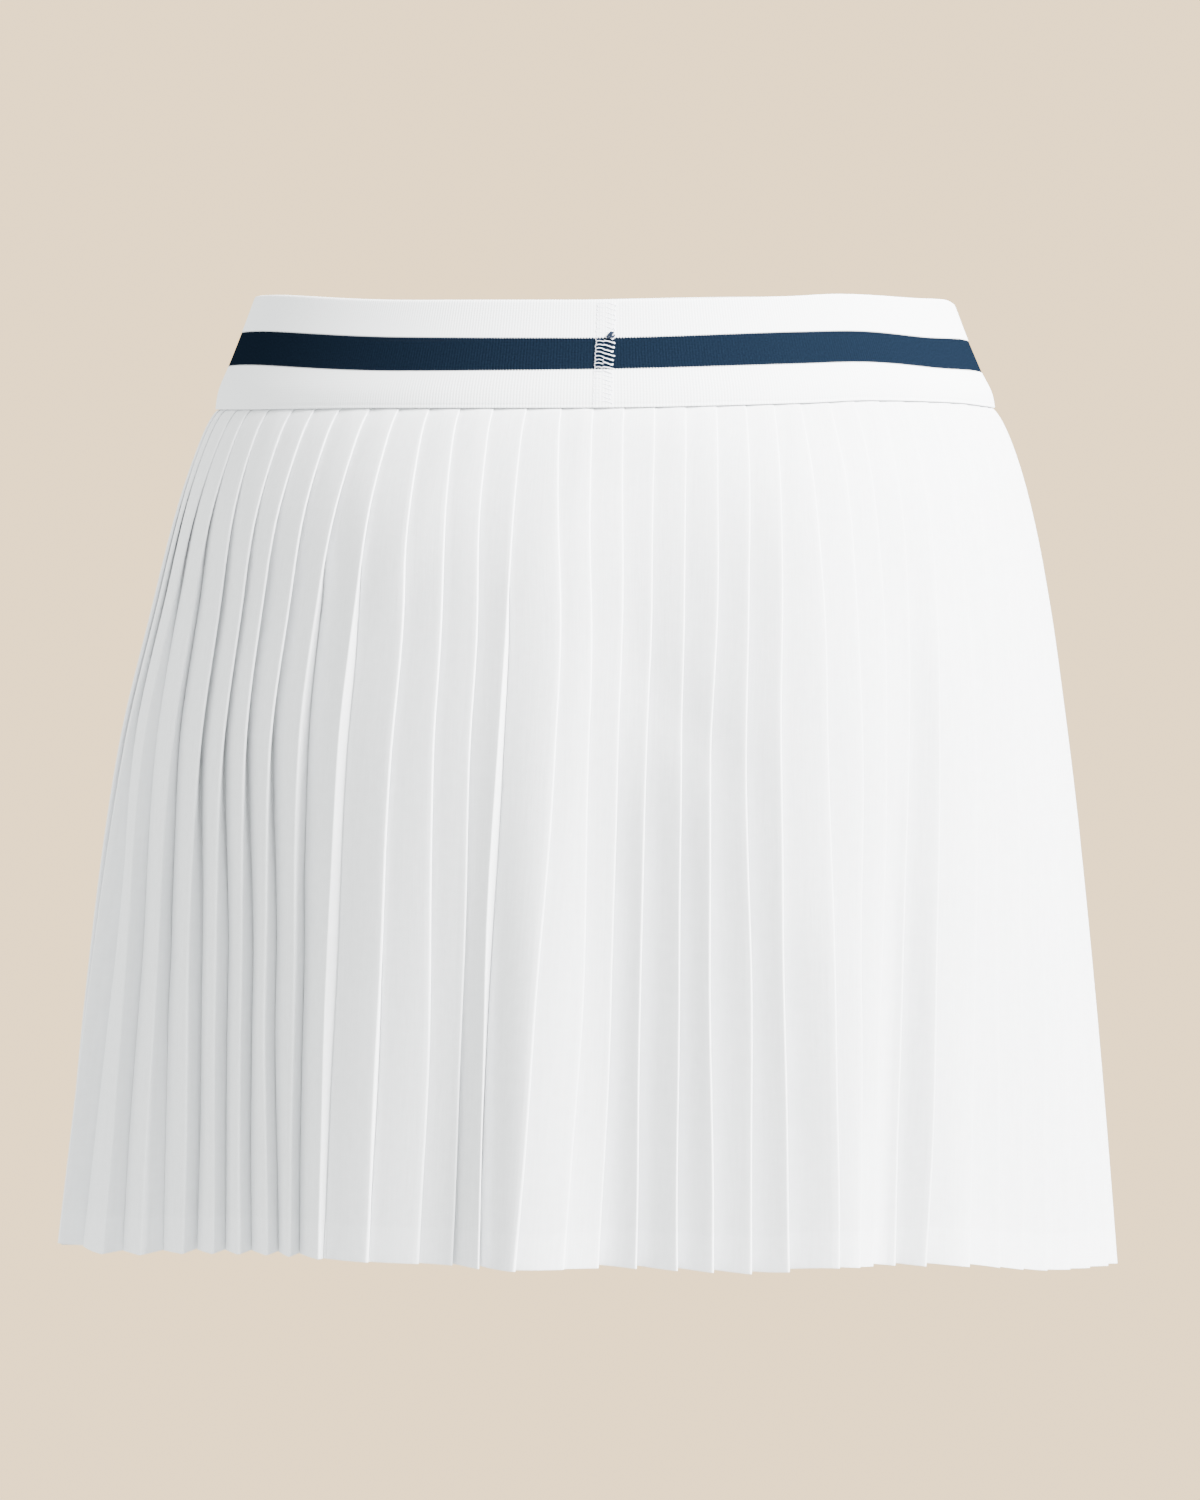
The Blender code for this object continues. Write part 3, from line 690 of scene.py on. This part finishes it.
def pleatGrid(first, count, drops):
    # cloth through a run of pleats at every drop: place, height off the edge, heading, length along, and
    # the outer folds' mark, which lightens their colour partly for the pressed double layers and partly as
    # a painted highlight
    shares = foldShares()
    outlines = [SkirtOutline(drop) for drop in drops]
    total = skirt["backPleats"] + skirt["frontPleats"]
    radius = skirt["foldTop"] + (skirt["foldFoot"] - skirt["foldTop"]) * ease(drops, 0, 90)
    radius += skirt["foldHem"] * ease(drops, skirtLength - 40, skirtLength)
    outerU, innerU, innerW, tilts = [], [], [], []
    for outline, r in zip(outlines, radius):
        places = foldPlaces(outline, shares)
        depth, reach, tilt = pleatShape(places, outline, r)
        turns = [divmod(k, total) for k in range(first - 1, first + count)]
        outerU.append([places[n] + lap * outline.around - r for lap, n in turns])
        innerU.append([places[n] + lap * outline.around - reach[n] + r for lap, n in turns])
        innerW.append([-depth[n] for lap, n in turns])
        tilts.append([tilt[n] for lap, n in turns])
    outerU, innerU, innerW, tilts = np.array(outerU), np.array(innerU), np.array(innerW), np.array(tilts)
    outerW = -(radius + skirt["cloth"] / 2)
    r = radius
    ready = []

    def heading(fromU, fromW, toU, toW, offset):
        du, dw = toU - fromU, toW - fromW
        return np.arctan2(dw, du) + np.arcsin(np.clip(offset / np.hypot(du, dw), -0.98, 0.98))

    # an arc carries the fold mark, 1 on the outer folds: lighter colour for the pressed layers and a
    # painted highlight
    def arc(centreU, centreW, start, sweep, side, mark):
        for share in np.linspace(0, 1, 6):
            angle = start + sweep * share
            u = centreU - side * r * np.sin(angle)
            w = centreW + side * r * np.cos(angle)
            ready.append((u, w, angle, mark * math.sin(math.pi * (0.15 + 0.7 * share))))

    def straight(a, b, angle, shares, bow=0.0):
        for s in shares:
            lift = bow * 16 * s**2 * (1 - s)**2
            u = a[0] + (b[0] - a[0]) * s - np.sin(angle) * lift
            w = a[1] + (b[1] - a[1]) * s + np.cos(angle) * lift
            ready.append((u, w, angle, 0.0))

    def bend(a, knee, b, startAngle, endAngle):
        for s in (0.0, 0.25, 0.5, 0.75, 1.0):
            u, w = (a[n] * (1 - s)**2 + 2 * knee[n] * s * (1 - s) + b[n] * s**2 for n in (0, 1))
            ready.append((u, w, startAngle + (endAngle - startAngle) * s, 0.0))

    def mixed(a, b, share):
        return a[0] + (b[0] - a[0]) * share, a[1] + (b[1] - a[1]) * share

    returns = [heading(outerU[:, k], outerW, innerU[:, k], innerW[:, k], -2 * r) for k in range(count + 1)]

    def returnEnds(k):
        a = returns[k]
        start = (outerU[:, k] - r * np.sin(a), outerW + r * np.cos(a))
        end = (innerU[:, k] + r * np.sin(a), innerW[:, k] - r * np.cos(a))
        return start, end, a

    start, end, angle = returnEnds(0)
    straight(start, end, angle, (0.5 + 0.1 / skirt["return"], 0.8))
    for k in range(count):
        start, end, a = returnEnds(k)
        chord = heading(innerU[:, k], innerW[:, k], outerU[:, k + 1], outerW, 2 * r)
        b = np.maximum(tilts[:, k], chord - 0.05)
        kneeBack = skirt["kneeBack"] + skirt["kneeUneven"] * math.sin(2.7 * (first + k))
        panelEnd = (outerU[:, k + 1] - r * np.sin(b), outerW + r * np.cos(b))
        panelAt = panelEnd[1] - np.tan(b) * (panelEnd[0] - outerU[:, k])
        touching = start[0] + ((panelAt - start[1]) * np.cos(a) - skirt["cloth"] - 0.12) / np.sin(a)
        kneeU = np.maximum(touching, outerU[:, k] + r - kneeBack)   # the knee stops at the return
        knee = (kneeU, panelEnd[1] - np.tan(b) * (panelEnd[0] - kneeU))
        hidden = heading(innerU[:, k], innerW[:, k], knee[0], knee[1], r)
        panelStart = (innerU[:, k] + r * np.sin(hidden), innerW[:, k] - r * np.cos(hidden))
        arc(innerU[:, k], innerW[:, k], a, (hidden - a) % (2 * math.pi), -1, 0.0)
        before, after = mixed(panelStart, knee, 0.75), mixed(knee, panelEnd, 0.06)
        bend(before, knee, after, hidden, b)
        bow = skirt["panelBow"] * (1 + 1.2 * math.sin(1.9 * (first + k)))
        straight(after, panelEnd, b, (0.25, 0.5, 0.72, 0.88), bow)
        arc(outerU[:, k + 1], outerW, b, -((b - returns[k + 1]) % (2 * math.pi)), 1, 1.0)
        start, end, angle = returnEnds(k + 1)
        straight(start, end, angle, (0.33, 0.67) if k < count - 1 else (0.25, 0.5 - 0.1 / skirt["return"]))
    u, w, angle, creaseAndHighlight = (np.array([spot[n] + 0 * r for spot in ready]).T for n in range(4))
    return outlines, u, w, angle, creaseAndHighlight


def skirtRows():
    # drops below the band: close together at the seam and at the turned hem
    top = [-skirt["tuck"], -0.9, -0.1, 0.5, 1.6, 3.4, 5.6, 8.4, 12, 16, 20.5, 25.5, 31]
    middle = list(np.linspace(37, skirtLength - 22, 38))
    turn = skirtLength - skirt["hemTurn"]
    foot = [turn + step for step in (-3.5, -0.5, 0.3, 3)] + [skirtLength - up for up in (7, 2.4, 0.5, 0)]
    return np.array(top + middle + foot)


def makeSkirtHalf(name, first, count):
    drops = skirtRows()
    outlines, u, w, angle, creaseAndHighlight = pleatGrid(first, count, drops)
    turned = ease(drops, skirtLength - skirt["hemTurn"] - 0.6, skirtLength - skirt["hemTurn"] + 0.4)
    stepLength = np.hypot(np.diff(u, axis=1), np.diff(w, axis=1))
    along = np.concatenate([np.zeros((len(drops), 1)), np.cumsum(stepLength, axis=1)], axis=1)
    along = np.broadcast_to(along[len(drops) // 2], along.shape)
    grids = []
    for side in (1, -1):
        thick = skirt["cloth"] / 2 + (skirt["hemExtra"] * turned if side < 0 else 0 * turned)
        thick = np.where(drops > skirtLength - 0.3, thick * 0.8, thick)
        sideU = u - side * np.sin(angle) * thick[:, None]
        sideW = w + side * np.cos(angle) * thick[:, None]
        points = []
        for row, outline in enumerate(outlines):
            drop = drops[row]
            x0, y0 = outline.inside(sideU[row], -sideW[row])
            atBack = y0 < 0
            swell = np.where(atBack, softFolds(backCreases, x0, drop), softFolds(frontCreases, x0, drop))
            swell = swell * ease(np.abs(y0), 5, 40) * ease(drop, 4, 30)
            x, y = outline.inside(sideU[row], -sideW[row] - swell)
            turnAt = outline.read(sideU[row], outline.turn)
            topRise = bandWave(turnAt, np.full_like(turnAt, -waistband["half"]))
            low = smoothColumn(skirt["hem"], "across", "low", np.where(atBack, x, x * 0.98))
            low = np.where(atBack, low, low * 0.8 + 0.4)    # the front's hem is a little more even
            lift = skirt["hemLift"] * np.clip(-sideW[row] / skirt["return"], 0, 1)
            share = np.clip(drop / skirtLength, 0, 1)
            z = bandFoot / mm - drop + topRise * (1 - share) - low * share + lift * share**2
            points.append(np.stack([x, y, z], -1) * mm)
        grids.append(np.array(points))
    down = np.broadcast_to(drops[:, None] / 1000, u.shape)
    # the outer folds' mark: lighter colour for their pressed double layers and a painted highlight on the
    # fold edge
    marks = {"creaseAndHighlight": creaseAndHighlight * ease(drops, 1, 14)[:, None],
             "hem": np.broadcast_to(turned[:, None], u.shape)}
    closed = np.zeros(len(drops), bool)
    return buildShell(name, grids[0], grids[1], closed, along / 1000, down, marks)


# the fold mark's value is how much lighter the outer folds are painted, partly pressed layers and partly
# painted highlight
skirtLook = {"roughness": 0.85, "gloss": 0.15, "sheen": 0.12, "through": 0.35, "threads": 2600.0,
             "streaks": 0.6, "toneRange": 0.22, "creaseAndHighlight": 0.06, "hem": 0.03,
             "relief": 0.8, "reliefDepth": 0.16}
skirtBack = makeSkirtHalf("skirt_back_pleats", 0, skirt["backPleats"])
skirtFront = makeSkirtHalf("skirt_front_pleats", skirt["backPleats"], skirt["frontPleats"])
skirtCloth = clothMaterial("pleated_polyester", (0.86, 0.87, 0.885), skirtLook)
for half in (skirtBack, skirtFront):
    half.data.materials.append(skirtCloth)
print("skirt made,", len(skirtBack.data.polygons), "and", len(skirtFront.data.polygons), "faces")


# inner shorts

shorts = {
    "length": 292, "wall": 0.8, "columns": 84, "hemTurn": 20.0, "hemExtra": 0.5, "seamGap": 0.3,
    "stitch": 2.5, "stitchPitch": 3.3, "stitchRows": (17.0, 20.0), "flatWidth": 0.51,
    "sections": table(  # centre and half sizes of the leg's oval, and how far it sits towards the back
        "drop centre wide deep setBack",
        (-8, 0, 146.3, 104.9, 0), (2, 0, 145.5, 104.2, 0), (45, 8, 141, 108, 1), (95, 24, 130, 110, 3),
        (140, 44, 111, 107, 5), (180, 62, 93, 103, 4), (208, 75, 79.5, 99, 3), (226, 78.3, 78, 96, 3),
        (292, 81, 72, 88, 2),
    ),
    "creases": table(  # soft folds by degrees round the leg, 0 outside, -90 back, 90 front, and drop
        "across drop length width lean height",
        (-150, 215, 26, 6, 50, -1.3), (150, 212, 24, 6, -55, -1.2), (-120, 196, 30, 7, 62, -0.9),
        (124, 200, 26, 7, -60, -1.0), (-70, 262, 30, 6, 76, 0.7), (60, 268, 28, 6, -78, 0.7),
        (0, 150, 40, 10, 12, 0.8),
    ),
}


def legPoint(side, drop, turn, inset):
    # a point on a leg: side -1 left or 1 right, degrees round from its outside, depth in the wall
    centre, wide, deep, setBack = (smoothColumn(shorts["sections"], "drop", name, drop)
                                   for name in ("centre", "wide", "deep", "setBack"))
    angle = np.radians(turn)
    offSeam = ease(np.abs(centre + wide * np.cos(angle)), 0.5, 14)  # the folds fade out at the centre seam
    out = softFolds(shorts["creases"], turn, drop) * offSeam * ease(drop, 20, 60) - inset
    return np.stack([side * (centre + (wide + out) * np.cos(angle)), (deep + out) * np.sin(angle) - setBack,
                     bandFoot / mm - drop + 0 * angle], -1) * mm


def makeShortsHalf(name, side):
    foot = shorts["length"]
    hem = foot - shorts["hemTurn"]
    drops = np.concatenate([np.linspace(-8, 203, 34), [208, 212, 216, 220, 223, 225, 226, 228, 232],
                            np.linspace(238, hem - 2, 7), [hem - 0.4, hem + 0.4, hem + 5, hem + 12],
                            [foot - 0.6, foot]])
    centre = smoothColumn(shorts["sections"], "drop", "centre", drops)
    wide = smoothColumn(shorts["sections"], "drop", "wide", drops)
    closed = centre > wide
    turnEnd = np.degrees(np.arccos(np.clip(-(centre - shorts["seamGap"] / 2) / wide, -1, 1)))
    turnEnd[closed] = 180.0
    steps = np.linspace(-1, 1, shorts["columns"] + 1)
    turns = side * turnEnd[:, None] * steps[None, :]    # both legs run the same way round from outside
    level = drops[:, None] + 0 * turns
    turned = ease(drops, hem - 0.3, hem + 0.3)[:, None]
    edge = np.where(drops > foot - 0.2, 0.15, 0.0)[:, None]
    outside = legPoint(side, level, turns, edge + 0 * turns)
    inside = legPoint(side, level, turns, shorts["wall"] + shorts["hemExtra"] * turned - edge + 0 * turns)
    around = np.radians(turns) * 85 / 1000              # a leg's mean radius is 85 mm
    return buildShell(name, outside, inside, closed, around, level / 1000, {"hem": turned + 0 * turns})


def makeStitchRows(name, side, material):
    # twin rows of stitches round the leg hem: one stitch is modelled and copied round
    bpy.ops.mesh.primitive_uv_sphere_add(segments=6, ring_count=4, radius=1.0, location=(0, 0, 0))
    stitch = bpy.context.view_layer.objects.active
    shape = np.array([v.co for v in stitch.data.vertices])
    faces = [tuple(p.vertices) for p in stitch.data.polygons]
    bpy.data.objects.remove(stitch)
    half = np.array([shorts["stitch"] / 2, 0.2, 0.2]) * mm
    points, rings = [], []
    upward = np.array([0.0, 0.0, 1.0])
    for up in shorts["stitchRows"]:
        line = legPoint(side, shorts["length"] - up, np.linspace(-180, 180, 721), -0.05)
        length = np.concatenate([[0], np.cumsum(np.linalg.norm(np.diff(line, axis=0), axis=1))])
        count = int(length[-1] / (shorts["stitchPitch"] * mm))
        for n in range(count):
            at = (n + 0.5) * length[-1] / count
            steps = (-1.5 * mm, 0, 1.5 * mm)
            behind, spot, ahead = (np.array([np.interp(at + step, length, column) for column in line.T])
                                   for step in steps)
            along = (ahead - behind) / np.linalg.norm(ahead - behind)
            turnTo = np.stack([along, upward, np.cross(along, upward)])
            rings.append([tuple(i + len(points) * len(shape) for i in face) for face in faces])
            points.append((shape * half) @ turnTo + spot)
    mesh = bpy.data.meshes.new(name)
    mesh.from_pydata(np.concatenate(points).tolist(), [], [face for ring in rings for face in ring])
    piece = bpy.data.objects.new(name, mesh)
    bpy.context.collection.objects.link(piece)
    piece.data.materials.append(material)
    bpy.context.view_layer.objects.active = piece
    piece.select_set(True)
    bpy.ops.object.mode_set(mode="EDIT")
    bpy.ops.mesh.select_all(action="SELECT")
    bpy.ops.mesh.normals_make_consistent(inside=False)
    bpy.ops.object.mode_set(mode="OBJECT")
    smoothPiece(piece, 60)
    return piece


shortsLook = {"roughness": 0.75, "gloss": 0.25, "sheen": 0.1, "through": 0.2, "threads": 1100.0,
              "streaks": 0.35, "toneRange": 0.05, "hem": 0.02, "relief": 0.4, "reliefDepth": 0.12}
knit = clothMaterial("stretch_knit", (0.84, 0.845, 0.855), shortsLook)
legs, legStitches = {}, {}
for side, word in ((-1, "left"), (1, "right")):
    legs[word] = makeShortsHalf("shorts_" + word + "_knit", side)
    legs[word].data.materials.append(knit)
    legStitches[word] = makeStitchRows("shorts_" + word + "_stitches", side, whiteThread)
print("shorts made,", len(legs["left"].data.polygons), "faces each")


# riding, replacing and cloth sizes

def frontArea(piece):
    # half of a thin wall's surface: the cloth's own area
    return sum(face.area for face in piece.data.polygons) / 2


for piece in (band, joinStitches, joinFray, skirtBack, skirtFront, *legs.values(), *legStitches.values()):
    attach(piece, "root")
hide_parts("waistband")
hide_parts("skirt_back")
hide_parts("skirt_front")
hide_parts("shorts_left")
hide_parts("shorts_right")

for piece in (band, skirtBack, skirtFront, *legs.values()):
    print(piece.name, "cloth area", round(frontArea(piece), 4))


# stage, light and camera

stage = {
    "floorDrop": 1.0, "floorRadius": 7.0, "floorColour": (0.4, 0.335, 0.245),
    "backdrop": (2.4, 1.78, 1.03), "fillLeft": 2.6, "fillRight": 1.3,
    "camera": {"distance": 4.9, "aimAcross": -2.0, "aimDown": 153.0, "lens": 305.0},
    "lights": [     # where each soft light stands, in metres from the waist, its width and its power
        {"name": "key_light", "spot": (1.73, -1.13, 1.3), "size": 1.6, "power": 640.0},
        {"name": "front_light", "spot": (0.9, 2.4, 1.3), "size": 1.5, "power": 230.0},
    ],
}


def aimAt(thing, target):
    direction = np.array(target) - np.array(thing.location)
    level = math.hypot(direction[0], direction[1])
    thing.rotation_euler = (math.pi / 2 + math.atan2(direction[2], level), 0,
                            math.atan2(direction[1], direction[0]) - math.pi / 2)


def makeFloor():
    bpy.ops.mesh.primitive_circle_add(vertices=96, radius=stage["floorRadius"], fill_type="NGON",
                                      location=(0, 0, -stage["floorDrop"]))
    floor = bpy.context.view_layer.objects.active
    floor.name = "floor"
    bpy.ops.object.transform_apply(location=True, rotation=True, scale=True)
    material, tree, shader = newMaterial("plain_floor", {
        "Base Color": (*stage["floorColour"], 1), "Roughness": 0.9, "Specular IOR Level": 0.1})
    clear = addNode(tree, "ShaderNodeBsdfTransparent")
    place = addNode(tree, "ShaderNodeTexCoord")
    far = addNode(tree, "ShaderNodeVectorMath", operation="LENGTH")
    flat = addNode(tree, "ShaderNodeVectorMath", operation="MULTIPLY")
    flat.inputs[1].default_value = (1, 1, 0)
    tree.links.new(place.outputs["Object"], flat.inputs[0])
    tree.links.new(flat.outputs[0], far.inputs[0])
    fade = rangeNode(tree, far.outputs["Value"], 1.0, stage["floorRadius"] * 0.9)
    side = addNode(tree, "ShaderNodeNewGeometry")
    hidden = mathNode(tree, "MAXIMUM", fade, side.outputs["Backfacing"])
    mixShaders(tree, hidden, shader, clear, "Material Output")
    floor.data.materials.append(material)
    floor.visible_diffuse = False
    floor.visible_glossy = False


def makeWorld():
    world = bpy.data.worlds.new("studio")
    bpy.context.scene.world = world
    world.use_nodes = True
    tree = world.node_tree
    fill = tree.nodes["Background"]
    fill.inputs["Color"].default_value = (0.97, 1.0, 0.985, 1)
    place = addNode(tree, "ShaderNodeTexCoord")
    apart = addNode(tree, "ShaderNodeSeparateXYZ")
    tree.links.new(place.outputs["Generated"], apart.inputs[0])
    aside = addNode(tree, "ShaderNodeMapRange")
    aside.inputs["From Min"].default_value = -1.0
    aside.inputs["To Min"].default_value = stage["fillLeft"]
    aside.inputs["To Max"].default_value = stage["fillRight"]
    tree.links.new(apart.outputs["X"], aside.inputs["Value"])
    tree.links.new(aside.outputs[0], fill.inputs["Strength"])
    paper = addNode(tree, "ShaderNodeBackground")
    paper.inputs["Color"].default_value = (*stage["backdrop"], 1)
    seen = addNode(tree, "ShaderNodeLightPath")
    mixShaders(tree, seen.outputs["Is Camera Ray"], fill, paper, "World Output")


def makeLights():
    for row in stage["lights"]:
        bpy.ops.object.light_add(type="AREA", location=row["spot"])
        lamp = bpy.context.view_layer.objects.active
        lamp.name = row["name"]
        lamp.data.shape = "DISK"
        lamp.data.size = row["size"]
        lamp.data.energy = row["power"]
        aimAt(lamp, (0, 0, (cadLow.z + cadHigh.z) / 2))


def makeCamera():
    view = stage["camera"]
    bpy.ops.object.camera_add(location=(view["aimAcross"] * mm, -view["distance"], 0))
    camera = bpy.context.view_layer.objects.active
    camera.data.lens = view["lens"]
    camera.data.clip_end = 100
    aimAt(camera, (view["aimAcross"] * mm, 0, -view["aimDown"] * mm))
    bpy.context.scene.camera = camera


makeFloor()
makeWorld()
makeLights()
makeCamera()
print("stage, light and camera ready")
